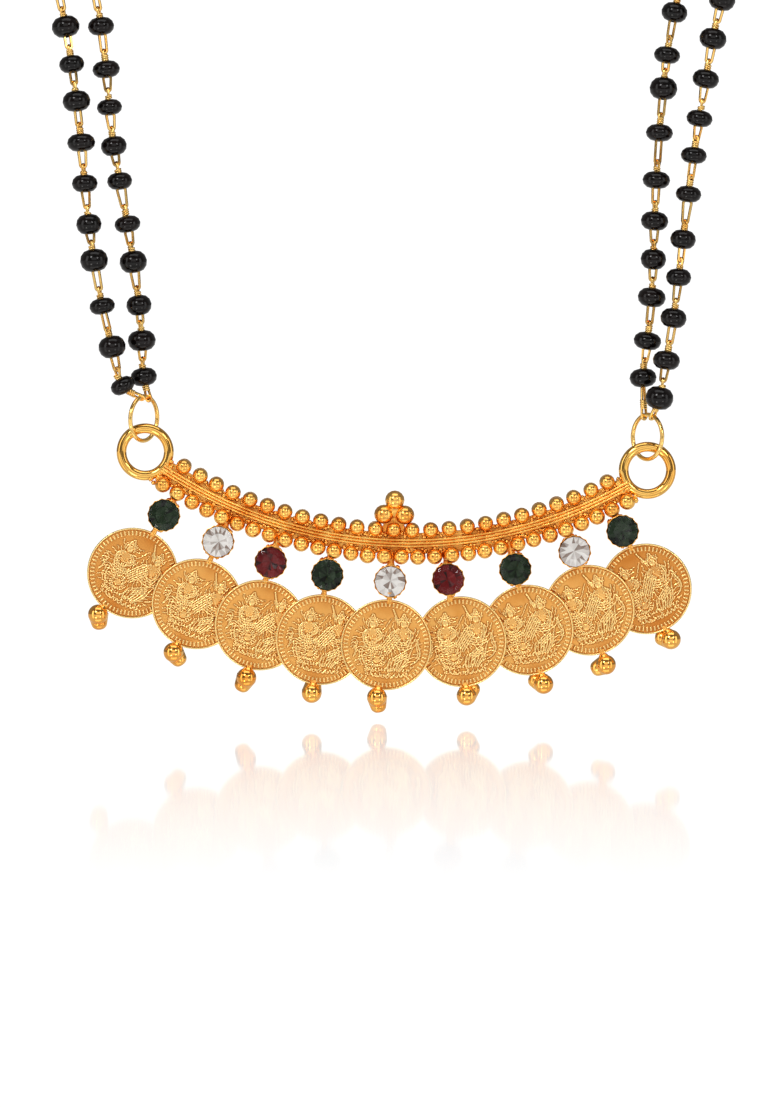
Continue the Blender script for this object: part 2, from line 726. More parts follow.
class NECKLACE_OT_crest(bpy.types.Operator):
    """Pile the large granules over the middle of the bar, on their pointed plate"""
    bl_idname = "necklace.crest"
    bl_label = "Crest"

    def execute(self, context):
        s = settings().bar
        pair, top = s.ridge_radius - 3.1 * MM, s.ridge_radius - 4.7 * MM
        places = [on_bar(0, radius, y * MM) @ Matrix.Translation((x * MM, 0, 0)) @ turn
                  for x, y, radius, turn in ((-1.15, -0.35, pair, FRONT), (1.15, -0.35, pair, FRONT),
                                             (0, -0.35, top, FRONT), (0, 0.5, pair - 0.6 * MM, BACK))]
        balls = set_out(solder_ball(s.crest_granule, 0.25 * MM), places)
        finished_gold(balls, "crest_granules", "granule_gold")
        self.plate(s)
        return {"FINISHED"}

    def plate(self, s):
        """The plate under the crest, which narrows to a point at the top"""
        side = 3 * MM
        start_fresh()
        bpy.ops.mesh.primitive_plane_add(size=side)
        plate = active()
        edit_mode(plate, "VERT")
        pick(plate, "verts", lambda v: v.co.y > 0)
        resize(0.24, 1.2)
        bpy.ops.mesh.select_all(action="SELECT")
        bpy.ops.mesh.extrude_region_move(TRANSFORM_OT_translate={"value": (0, 0, 0.36 * MM)})
        object_mode()
        plate.data.transform(on_bar(0, s.ridge_radius - 0.91 * MM, 0.18 * MM) @ FRONT
                             @ Matrix.Diagonal((1, 1.12, 1, 1))
                             @ Matrix.Translation((0, side / 2, 0)))
        outward_normals(plate)
        soften(plate, 0.00008)
        finished_gold(plate, "crest_plate", "soldered_gold")


class NECKLACE_OT_end_rings(bpy.types.Operator):
    """Bend the thick ring at each end of the bar, with a neck of solder"""
    bl_idname = "necklace.end_rings"
    bl_label = "End rings"

    def execute(self, context):
        s = settings().bar
        start_fresh()
        bpy.ops.mesh.primitive_torus_add(major_radius=s.ring_radius, minor_radius=s.ring_wire,
                                         major_segments=72, minor_segments=24)
        ring = active()
        reach = s.ring_radius + s.ring_wire
        edit_mode(ring)
        pick(ring, "faces", lambda f: f.calc_center_median().x > 0.97 * reach)
        grow((1.12, 0.8, 0.9))
        object_mode()
        outward_normals(ring)
        rings = set_out(ring, [end_ring_place(side) @ FRONT @ Matrix.Rotation(turn, 4, "Z")
                               for side, turn in ((-1, 0), (1, math.pi))])
        finished_gold(rings, "end_rings", "ring_gold")
        return {"FINISHED"}


# Drops

class NECKLACE_OT_collets(bpy.types.Operator):
    """Flute one conical cup, hollow it for the stone, and set nine of them"""
    bl_idname = "necklace.collets"
    bl_label = "Collets"

    def execute(self, context):
        flutes, foot, rim, depth, pit = 14, 1.15 * MM, 1.87 * MM, 1.9 * MM, 1.35 * MM
        start_fresh()
        bpy.ops.mesh.primitive_cone_add(vertices=2 * flutes, radius1=foot, radius2=rim, depth=depth)
        cup = active()
        half_flute = math.pi / flutes
        edit_mode(cup, "VERT")
        pick(cup, "verts", lambda v: round(math.atan2(v.co.y, v.co.x) / half_flute) % 2 == 1)
        resize(0.94, 0.94)
        bpy.ops.mesh.select_mode(type="FACE")
        pick(cup, "faces", lambda f: f.normal.z > 0.9)
        bpy.ops.mesh.inset(thickness=0.1 * MM)
        grow((0.45, 0.45, 1), (0, 0, -pit))
        object_mode()
        outward_normals(cup)
        soften(cup, 0.00004)
        cups = set_out(cup, [collet_place(number) @ FRONT for number in NUMBERS])
        finished_gold(cups, "collets", "polished_gold", 50)
        return {"FINISHED"}


class NECKLACE_OT_stones(bpy.types.Operator):
    """Cut one stone with a table, two tiers of crown facets and a foiled back, and set nine"""
    bl_idname = "necklace.stones"
    bl_label = "Cut stones"

    def execute(self, context):
        stone = self.cut_stone(settings().drops.stone_radius)
        for number, kind in enumerate(STONE_FINISHES, start=1):
            around = 2.4 * number
            tilt = Matrix.Rotation(math.radians(3.5), 4, (math.cos(around), math.sin(around), 0))
            spin = Matrix.Rotation(0.31 * number, 4, "Z")
            copy = placed_copy(stone, collet_place(number) @ FRONT
                               @ Matrix.Translation((0, 0, 1.1 * MM)) @ tilt @ spin)
            foiled = [face.material_index for face in copy.data.polygons]
            chance = random.Random(number)
            sparkle = copy.data.attributes.new("sparkle", "FLOAT", "FACE")
            sparkle.data.foreach_set("value", [chance.random() for _ in foiled])
            finished(copy, f"cut_stone_{number}", "pendant", f"stone_{number}",
                     [finish(kind), finish(kind.replace("glass", "foil"))], smooth=0)
            copy.data.polygons.foreach_set("material_index", foiled)
        remove(stone)
        return {"FINISHED"}

    def cut_stone(self, radius, facets=16, girdle=0.16 * MM):
        """A stone with its table up, whose crown has material 0 and whose foiled back has 1"""
        start_fresh()
        bpy.ops.mesh.primitive_cylinder_add(vertices=facets, radius=radius, depth=girdle)
        stone = active()
        half_step = math.pi / facets
        edit_mode(stone)
        pick(stone, "faces", lambda f: f.normal.z > 0.9)
        for scale, rise in ((0.84, 0.14 * MM), (0.74, 0.09 * MM)):
            grow((scale, scale, 1), (0, 0, rise))
            turn_about_z(half_step)
        pick(stone, "faces", lambda f: len(f.verts) == 4 and f.calc_center_median().z > girdle)
        bpy.ops.mesh.quads_convert_to_tris(quad_method="SHORTEST_DIAGONAL")
        pick(stone, "faces", lambda f: f.normal.z < -0.9)
        grow((0.55, 0.55, 1), (0, 0, -0.62 * MM))
        turn_about_z(half_step)
        grow((0.01, 0.01, 1), (0, 0, -0.48 * MM))
        object_mode()
        edit_mode(stone, "VERT")
        pick(stone, "verts", lambda v: v.co.z < -0.9 * MM)
        bpy.ops.mesh.merge(type="CENTER")
        pick(stone, "faces", lambda f: len(f.verts) == 4 and f.calc_center_median().z < -girdle)
        bpy.ops.mesh.quads_convert_to_tris(quad_method="SHORTEST_DIAGONAL")
        object_mode()
        outward_normals(stone)
        for face in stone.data.polygons:
            face.material_index = 1 if face.center.z < 0.4 * girdle else 0
        return stone


# Relief of the coin, in millimetres from its centre. A stroke is its points and its half thickness

def arc(x, y, radius, start, end, steps=4, squash=1.0):
    """Points along part of a circle, from one angle to another in degrees"""
    angles = [math.radians(start + (end - start) * k / steps) for k in range(steps + 1)]
    return [(x + radius * math.cos(a), y + squash * radius * math.sin(a)) for a in angles]


def hatch(first, last, count, thick):
    """Strokes in even steps from a first one to a last one with as many points"""
    return [([(x0 + (x1 - x0) * k / (count - 1), y0 + (y1 - y0) * k / (count - 1))
              for (x0, y0), (x1, y1) in zip(first, last)], thick) for k in range(count)]


def fan(x, y, inner, outer, start, end, count, thick):
    """Short strokes that spread from a centre like feathers or rays"""
    angles = [math.radians(start + (end - start) * k / (count - 1)) for k in range(count)]
    return [([(x + r * math.cos(a), y + r * math.sin(a)) for r in (inner, outer)], thick)
            for a in angles]


def seated_figure(x, y, way):
    """Crowned head, necklaces, arms and crossed legs of a figure whose head is at a place"""
    face = [(arc(0, 0, 0.52, 205, -25, 6), 0.06), ([(-0.42, 0.24), (0, 0.34), (0.42, 0.24)], 0.06)]
    crown = [([(-0.34, 0.45), (-0.16, 0.85), (0, 1.12), (0.16, 0.85), (0.34, 0.45)], 0.07),
             ([(-0.16, 0.5), (0, 0.72), (0.16, 0.5)], 0.05)]
    crown += fan(0, 0, 0.66, 0.84, 160, 20, 9, 0.06)
    nose_eyes_and_mouth = [([(0.02, 0.1), (0.03, -0.08)], 0.035), ([(-0.2, 0.06), (-0.08, 0.06)], 0.03),
                           ([(0.1, 0.06), (0.22, 0.06)], 0.03), ([(-0.08, -0.2), (0.1, -0.2)], 0.03)]
    necklaces = [(arc(0, -0.42, radius, 195, 345), 0.055) for radius in (0.3, 0.48, 0.66)]
    arms = []
    for side in (-1, 1):
        outer = [(0.55, -0.55), (1.0, -0.95), (0.95, -1.55), (0.4, -1.8)]
        inner = [(0.45, -0.75), (0.74, -1.05), (0.7, -1.4), (0.35, -1.55)]
        bangles = [(0.72, -0.98), (1.02, -0.86)], [(0.66, -1.45), (0.92, -1.62)]
        for points, thick in ((outer, 0.08), (inner, 0.06), (bangles[0], 0.06), (bangles[1], 0.06)):
            arms.append(([(side * u, v) for u, v in points], thick))
    legs = hatch([(-0.55, -1.95), (0, -2.05), (0.55, -1.95)],
                 [(-1.2, -2.5), (0, -2.85), (1.2, -2.5)], 4, 0.065)
    return [([(x + way * u, y + v) for u, v in points], thick)
            for points, thick in face + crown + nose_eyes_and_mouth + necklaces + arms + legs]


def drapery():
    """The staff between the figures, the folds of their dress, and their scarves"""
    lines = [([(0.62, 4.0), (0.95, 3.2), (1.3, 2.45)], 0.09), ([(0.82, 3.1), (1.15, 2.4)], 0.06)]
    lines += hatch([(0.78, 1.62), (0.1, 0.75), (-0.66, -0.28)],
                   [(1.6, 0.75), (0.9, -0.1), (0.25, -1.0)], 6, 0.07)
    lines += hatch([(-1.9, 0.3), (-1.55, -0.3)], [(-0.5, 1.25), (-0.95, 0.45)], 6, 0.065)
    lines += hatch([(2.35, -0.5), (1.6, -0.95), (0.75, -1.5)],
                   [(2.5, -1.2), (1.8, -1.6), (1.1, -2.1)], 4, 0.07)
    lines += hatch([(0.45, -1.6), (0.25, -2.3), (0.3, -3.0)],
                   [(2.7, -0.75), (2.45, -1.7), (1.7, -2.75)], 7, 0.065)
    lines += [([(2.6, 1.6), (2.66, 0.7), (2.35, -0.1)], 0.1),
              ([(2.4, 1.4), (2.42, 0.7), (2.1, 0.0)], 0.06),
              ([(-2.4, 1.3), (-2.5, 0.4), (-2.1, -0.35)], 0.09),
              ([(-2.2, 1.2), (-2.25, 0.5), (-1.9, -0.1)], 0.06)]
    return lines


def birds():
    """An arched neck and a small head with its beak at each side, and at the left a spread tail"""
    right = [([(3.02, 0.45), (3.2, 0.72), (3.42, 0.6), (3.5, 0.1), (3.7, -0.5), (3.72, -1.15)], 0.09),
             ([(3.3, 0.35), (3.36, -0.2), (3.52, -0.8), (3.45, -1.3)], 0.07),
             ([(3.72, -1.15), (3.3, -1.75), (2.7, -2.1)], 0.08), ([(3.0, 0.42), (2.82, 0.25)], 0.06)]
    left = [(arc(-2.75, -0.75, 0.22, -60, 250, 6), 0.08),
            ([(-2.62, -0.98), (-2.55, -1.5), (-2.3, -2.1)], 0.09),
            ([(-2.9, -1.0), (-2.85, -1.6), (-2.55, -2.3)], 0.06), ([(-3.0, -0.7), (-3.2, -0.62)], 0.06)]
    left += hatch([(-3.85, 0.3), (-3.5, 0.55), (-3.2, 0.3), (-3.25, -0.3)],
                  [(-3.9, -0.4), (-3.6, -0.15), (-3.4, -0.5), (-3.42, -1.3)], 3, 0.06)
    tail = fan(-0.95, -1.65, 0.52, 0.98, 55, 250, 13, 0.065)
    tail += fan(-0.95, -1.65, 1.1, 1.55, 62, 245, 18, 0.065)
    tail += fan(-0.95, -1.65, 0.5, 0.85, -100, 40, 8, 0.06)
    return right + left + tail


def lotus_and_border():
    """The petals and the band under the figures, and the ticks round the coin"""
    droop = [0.25 * math.sin(math.pi * k / 8) for k in range(9)]
    petals = [(arc(-1.75 + 0.5 * k, -3.05 - droop[k], 0.2, 180, 360, 4, 1.7), 0.06) for k in range(9)]
    band = hatch([(-2.1, -2.55), (-2.0, -2.85)], [(2.4, -2.6), (2.3, -2.95)], 14, 0.06)
    return petals + band + fan(0, 0, 4.2, 4.68, 0, 360 * 65 / 66, 66, 0.105)


def relief_lines():
    """Two seated figures with a staff between them, on a lotus, with a bird at each side"""
    return (seated_figure(-1.54, 2.2, 1) + seated_figure(1.85, 2.35, -1) + drapery() + birds()
            + lotus_and_border() + fine_folds())


def fine_folds():
    """Short curved strokes that fill the ground between the figures like folds of cloth and leaves"""
    chance = random.Random(23)
    lines = []
    for row in range(13):
        for column in range(14):
            x = -3.5 + 0.54 * column + 0.27 * (row % 2) + chance.uniform(-0.1, 0.1)
            y = -3.3 + 0.5 * row + chance.uniform(-0.1, 0.1)
            beside_the_crowns = y > 1.9 and abs(x - 0.1) > 2.6
            if math.hypot(x, y) > 3.85 or beside_the_crowns:
                continue
            way = 0.6 + 1.1 * math.sin(0.9 * x + 0.4) + 0.8 * math.cos(0.8 * y - 0.3 * x)
            half, sag = chance.uniform(0.2, 0.36), chance.uniform(-0.1, 0.1)
            along, across = (math.cos(way), math.sin(way)), (-math.sin(way), math.cos(way))
            points = [(x + t * half * along[0] + (1 - t * t) * sag * across[0],
                       y + t * half * along[1] + (1 - t * t) * sag * across[1]) for t in (-1, 0, 1)]
            lines.append((points, 0.055))
    return lines


def engraved(strokes):
    """Raised lines of the relief, as bezier wires that are as thick as their strokes"""
    start_fresh()
    bpy.ops.curve.primitive_bezier_curve_add()
    wires = active()
    wires.data.splines.clear()
    for points, thick in strokes:
        spline = wires.data.splines.new("BEZIER")
        spline.bezier_points.add(len(points) - 1)
        for knot, (x, y) in zip(spline.bezier_points, points):
            knot.co = (x * MM, y * MM, 0)
            knot.handle_left_type = knot.handle_right_type = "AUTO"
            knot.radius = thick
    wires.data.resolution_u = 6
    wires.data.bevel_depth = MM
    wires.data.bevel_resolution = 2
    bpy.ops.object.convert(target="MESH")
    return active()


def coin_die():
    """All the raised forms of the coin's face, on a flat ground"""
    start_fresh()
    bpy.ops.mesh.primitive_uv_sphere_add(segments=20, ring_count=10, radius=MM)
    dome = active()
    chance = random.Random(11)
    # Place, half width, half height and rise: heads, the fan of a tail, bodies, and loose grains
    domes = [(-1.54, 2.2, 0.36, 0.45, 0.09), (1.85, 2.35, 0.36, 0.45, 0.09),
             (-0.95, -1.65, 0.4, 0.4, 0.05),
             (-1.54, 1.2, 0.5, 0.75, 0.05), (1.85, 1.35, 0.5, 0.75, 0.05)]
    for count, largest, (left, right), (low, high) in ((34, 0.11, (-2.6, 2.8), (-3.6, -2.5)),
                                                       (26, 0.1, (-2.4, 2.6), (-0.9, 1.6))):
        sizes = [chance.uniform(0.06, largest) for _ in range(count)]
        domes += [(chance.uniform(left, right), chance.uniform(low, high), size, size, size)
                  for size in sizes]
    forms = [placed_copy(dome, Matrix.Translation((x * MM, y * MM, 0))
                         @ Matrix.Diagonal((wide, high, rise, 1))) for x, y, wide, high, rise in domes]
    remove(dome)
    start_fresh()
    bpy.ops.mesh.primitive_plane_add(size=12 * MM)
    forms.append(active())
    return joined(forms + [engraved(relief_lines())])


class NECKLACE_OT_coins(bpy.types.Operator):
    """Press one coin over the die, give it its rim, edge and back, and hang nine"""
    bl_idname = "necklace.coins"
    bl_label = "Coins"

    def execute(self, context):
        s = settings().drops
        coin = self.pressed_field(s)
        self.rim_edge_and_back(coin, s)
        tones = coin.data.attributes.new("relief", "FLOAT", "POINT")
        tones.data.foreach_set("value", self.worn_look(coin.data, s.coin_thickness / 2, s.relief))
        coin.data.attributes.new("scorch", "FLOAT", "POINT")
        joints = Vector((0, s.coin_radius, 0)), Vector((0, -s.coin_radius, 0))
        burns = [max(math.exp(-((v.co - joint).length / (1.3 * MM)) ** 2) for joint in joints)
                 for v in coin.data.vertices]
        for number in NUMBERS:
            lean = s.lean * ((number < MIDDLE_DROP) - (number > MIDDLE_DROP))
            copy = placed_copy(coin, coin_place(number) @ Matrix.Rotation(lean, 4, "Z") @ FRONT)
            tarnish = TARNISH.get(number, 0.0)
            copy.data.attributes["scorch"].data.foreach_set(
                "value", [min(1.0, burn + tarnish) for burn in burns])
            finished_gold(copy, f"coin_{number}", "struck_gold", 60)
        remove(coin)
        return {"FINISHED"}

    def pressed_field(self, s):
        """A fine round grid, pressed down on the die"""
        die = coin_die()
        start_fresh()
        bpy.ops.mesh.primitive_grid_add(x_subdivisions=176, y_subdivisions=176,
                                        size=2.02 * s.coin_radius, location=(0, 0, 0.4 * MM))
        coin = active()
        apply_place()
        reach = 0.955 * s.coin_radius
        edit_mode(coin)
        pick(coin, "faces", lambda f: f.calc_center_median().to_2d().length > reach)
        bpy.ops.mesh.delete(type="FACE")
        object_mode()
        apply_modifier(coin, "SHRINKWRAP", target=die, wrap_method="PROJECT", use_project_z=True,
                       use_project_x=False, use_project_y=False,
                       use_negative_direction=True, use_positive_direction=False)
        remove(die)
        apply_modifier(coin, "SMOOTH", factor=0.3, iterations=1)
        for vertex in coin.data.vertices:
            vertex.co.z = s.coin_thickness / 2 + min(1.5 * vertex.co.z, s.relief)
        return coin

    def rim_edge_and_back(self, coin, s):
        """Close the pressed field with a raised rim, the edge of the sheet and a plain back"""
        sheet, last = s.coin_thickness / 2, 0.96
        edit_mode(coin, "EDGE")
        pick(coin, "edges", lambda e: e.is_boundary)
        mesh = bmesh.from_edit_mesh(coin.data)
        for vertex in mesh.verts:
            if vertex.select:
                flat = vertex.co.to_2d().normalized() * (last * s.coin_radius)
                vertex.co = (*flat, sheet)
        bmesh.update_edit_mesh(coin.data)
        # Share of the coin's radius, and millimetres over the face of the sheet
        for reach, z in ((0.975, 0.11), (0.99, 0.11), (1, 0.04), (1, -0.32), (0.985, -0.41),
                         (0.965, -0.41), (0.95, -0.36), (0.7, -0.36), (0.35, -0.36)):
            bpy.ops.mesh.extrude_edges_move()
            resize(reach / last, reach / last)
            last = reach
            mesh = bmesh.from_edit_mesh(coin.data)
            for vertex in mesh.verts:
                if vertex.select:
                    vertex.co.z = sheet + z * MM
            bmesh.update_edit_mesh(coin.data)
        bpy.ops.mesh.extrude_edges_move()
        bpy.ops.mesh.merge(type="CENTER")
        object_mode()
        outward_normals(coin)

    def worn_look(self, mesh, sheet, relief):
        """Tone of each vertex: bright on worn tops, middling on the field, dark in the corners"""
        heights = [(v.co.z - sheet) / relief for v in mesh.vertices]
        around = heights
        for _ in range(3):
            sums, counts = [0.0] * len(heights), [0] * len(heights)
            for edge in mesh.edges:
                a, b = edge.vertices
                sums[a] += around[b]
                sums[b] += around[a]
                counts[a] += 1
                counts[b] += 1
            around = [total / max(1, count) for total, count in zip(sums, counts)]
        field, border = 0.4, 4.1 * MM
        tones = []
        for v, height, near in zip(mesh.vertices, heights, around):
            contrast = 3.0 if v.co.to_2d().length < border else 0.9
            tone = field + 0.14 * height + contrast * (height - near)
            tones.append(min(1.0, max(0.0, tone)) if v.co.z > 0 else field)
        return tones


class NECKLACE_OT_end_balls(bpy.types.Operator):
    """Shape the ball under each coin, its pointed cap and the solder of the drops"""
    bl_idname = "necklace.end_balls"
    bl_label = "End balls and solder"

    def execute(self, context):
        ridge = settings().bar.ridge_radius
        chance = random.Random(5)
        balls, caps, necks = [], [], []
        for number, drop in enumerate(DROPS, start=1):
            spin = Matrix.Rotation(chance.uniform(0, math.tau), 4, "Z")
            balls.append(ball_place(number))
            caps.append(ball_place(number) @ tilted(drop.cap_turn)
                        @ Matrix.Translation((0, 0.7 * MM, 0)) @ spin)
            depth = coin_place(number).translation.y - ARC_CENTRE.y
            spoke = on_spoke(number, drop.stone_turn)
            # Solder from the bar to the collet, from the collet to the coin, and to the ball
            for place, start, end, width in (
                    (spoke, -ridge - 1.03 * MM, -ridge - (2.94 + drop.stone_fall) * MM, 0.45),
                    (spoke @ Matrix.Translation((0, depth, 0)),
                     -ridge - (5.35 + drop.stone_fall) * MM, -ridge - (6.7 + drop.coin_fall) * MM, 0.36),
                    (coin_place(number) @ tilted(drop.ball_turn),
                     -4.5 * MM, -(5.43 + drop.ball_fall) * MM, 0.4)):
                necks.append(place @ Matrix.Translation((0, 0, (start + end) / 2)) @ spin
                             @ Matrix.Diagonal((width, width, (start - end) / MM, 1)))
        ball = self.collared_ball(settings().drops.ball_radius)
        finished_gold(set_out(ball, balls), "end_balls", "bright_balls")
        finished_gold(set_out(self.pointed_cap(), caps), "end_caps", "granule_gold")
        finished_gold(set_out(self.solder_neck(), necks), "drop_solder", "soldered_gold")
        return {"FINISHED"}

    def collared_ball(self, radius):
        """A ball with a short collar on top"""
        start_fresh()
        bpy.ops.mesh.primitive_uv_sphere_add(segments=40, ring_count=24, radius=radius)
        ball = active()
        edit_mode(ball)
        pick(ball, "faces", lambda f: f.calc_center_median().z > 0.86 * radius)
        grow((0.85, 0.85, 1), (0, 0, 0.2 * MM))
        object_mode()
        outward_normals(ball)
        return ball

    def pointed_cap(self):
        """A pointed cap with a rounded tip and a hollow mouth, its tip down"""
        tip, mouth, depth = 0.72 * MM, 1.16 * MM, 1.75 * MM
        start_fresh()
        bpy.ops.mesh.primitive_cone_add(vertices=24, radius1=tip, radius2=mouth, depth=depth,
                                        location=(0, 0, -0.87 * MM))
        cap = active()
        apply_place()
        edit_mode(cap, "EDGE")
        pick(cap, "edges", lambda e: all(v.co.z < -1.7 * MM for v in e.verts))
        bpy.ops.mesh.bevel(offset=0.55 * MM, segments=6, affect="EDGES", clamp_overlap=True)
        bpy.ops.mesh.select_mode(type="FACE")
        pick(cap, "faces", lambda f: f.normal.z > 0.9)
        bpy.ops.mesh.inset(thickness=0.16 * MM)
        grow((0.55, 0.55, 1), (0, 0, -0.7 * MM))
        object_mode()
        outward_normals(cap)
        soften(cap, 0.00008, 50)
        return cap

    def solder_neck(self):
        """A waisted blob of solder, one millimetre long and two across before it is placed"""
        start_fresh()
        bpy.ops.mesh.primitive_cylinder_add(vertices=16, radius=MM, depth=MM)
        neck = active()
        edit_mode(neck, "EDGE")
        pick(neck, "edges", lambda e: abs(e.verts[0].co.z - e.verts[1].co.z) > 0.5 * MM)
        bpy.ops.mesh.subdivide(number_cuts=3)
        bpy.ops.mesh.select_mode(type="VERT")
        pick(neck, "verts", lambda v: abs(v.co.z) < 0.1 * MM)
        resize(0.78, 0.78)
        object_mode()
        outward_normals(neck)
        return neck


# Strings

def loose_parts(node):
    """Centre and reach of each loose solid of a CAD node"""
    mesh = bmesh.new()
    mesh.from_mesh(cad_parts[node].data)
    bmesh.ops.remove_doubles(mesh, verts=mesh.verts, dist=1e-7)
    parts, seen = [], set()
    for vertex in mesh.verts:
        if vertex in seen:
            continue
        seen.add(vertex)
        queue, part = [vertex], []
        while queue:
            v = queue.pop()
            part.append(v.co.copy())
            for edge in v.link_edges:
                other = edge.other_vert(v)
                if other not in seen:
                    seen.add(other)
                    queue.append(other)
        low = Vector([min(p[k] for p in part) for k in range(3)])
        high = Vector([max(p[k] for p in part) for k in range(3)])
        centre = (low + high) / 2
        parts.append((centre, max((p - centre).length for p in part)))
    mesh.free()
    return parts


def bead_run(name):
    """Beads of a string in order from the jump ring to the clasp, as (centre, axis, radius)"""
    first_eye, last_eye = front_eye(*STRINGS[name])[0], back_eye(*STRINGS[name])[0]
    left = loose_parts(f"{name}_beads")
    run, here = [], first_eye
    while left:
        nearest = min(left, key=lambda part: (part[0] - here).length)
        left.remove(nearest)
        run.append(nearest)
        here = nearest[0]
    places = [first_eye] + [centre for centre, _ in run] + [last_eye]
    return [(centre, (places[k + 2] - places[k]).normalized(), reach)
            for k, (centre, reach) in enumerate(run)]


def jump_ring_frame(side):
    """Centre of a jump ring, and the level direction that its plane runs in"""
    low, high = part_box("left_jump_ring" if side < 0 else "right_jump_ring")
    turn = JUMP_RINGS[side][1]
    return (Vector(low) + Vector(high)) / 2, Vector((side * math.sin(turn), -math.cos(turn), 0))


def front_eye(side, lane):
    """Where a string's eye grips the jump ring, and the ring's own direction there"""
    centre, forward = jump_ring_frame(side)
    swing = math.radians(17)
    radius = settings().strings.jump_ring_radius
    at = centre + radius * (lane * math.sin(swing) * forward + Vector((0, 0, math.cos(swing))))
    return at, (math.cos(swing) * forward - Vector((0, 0, lane * math.sin(swing)))).normalized()


def back_eye(side, lane):
    """Where a string's eye grips the clasp's ring, and the ring's own direction there"""
    turn = math.radians(26)
    out, along = CLASP_RING_RADIUS * math.cos(turn), CLASP_RING_RADIUS * math.sin(turn)
    at = Vector((side * (CLASP_RING_PLACE + out), CLASP_RADIUS + lane * along, 0))
    return at, Vector((-side * lane * math.sin(turn), math.cos(turn), 0))


def facing(axis, side=None):
    """Turn that takes +Z to an axis, and +Y as near to a side direction as it can"""
    z = axis.normalized()
    x = (side.cross(z) if side else z.orthogonal()).normalized()
    return Matrix((x, z.cross(x), z)).transposed().to_4x4()


class NECKLACE_OT_beads(bpy.types.Operator):
    """Press one round bead with its hole, and thread a copy at each place of the strings"""
    bl_idname = "necklace.beads"
    bl_label = "Glass beads"

    def execute(self, context):
        s = settings().strings
        chance = random.Random(s.seed)
        bead = self.pressed_bead(s.bead_radius)
        for name in STRINGS:
            beads = []
            for centre, axis, reach in bead_run(name):
                tilt = Matrix.Rotation(math.radians(chance.uniform(-7, 7)), 4,
                                       Vector([chance.uniform(-1, 1) for _ in range(3)]).normalized())
                plump = chance.choice((0.9, 0.98, 1.06, 1.14))
                size = reach / s.bead_radius
                beads.append(placed_copy(bead, Matrix.Translation(centre) @ facing(axis) @ tilt
                                         @ Matrix.Diagonal((size, size, size * plump, 1))))
            finished(joined(beads), f"{name}_glass", "necklace", f"{name}_beads",
                     [finish("black_glass")], 50)
        remove(bead)
        return {"FINISHED"}

    def pressed_bead(self, radius, hole=0.4 * MM):
        """A round bead, spun from a circle whose inner side is flattened into the hole's wall"""
        off_axis = 0.45 * MM
        start_fresh()
        bpy.ops.mesh.primitive_circle_add(vertices=12, radius=radius - off_axis,
                                          location=(off_axis, 0, 0), rotation=(math.radians(90), 0, 0))
        bead = active()
        apply_place()
        for vertex in bead.data.vertices:
            if vertex.co.x < hole:
                vertex.co.x = hole
                vertex.co.z *= 0.92
        edit_mode(bead, "EDGE")
        bpy.ops.mesh.select_all(action="SELECT")
        bpy.ops.mesh.spin(steps=16, angle=math.tau, center=(0, 0, 0), axis=(0, 0, 1))
        object_mode()
        outward_normals(bead, 1e-6)
        return bead


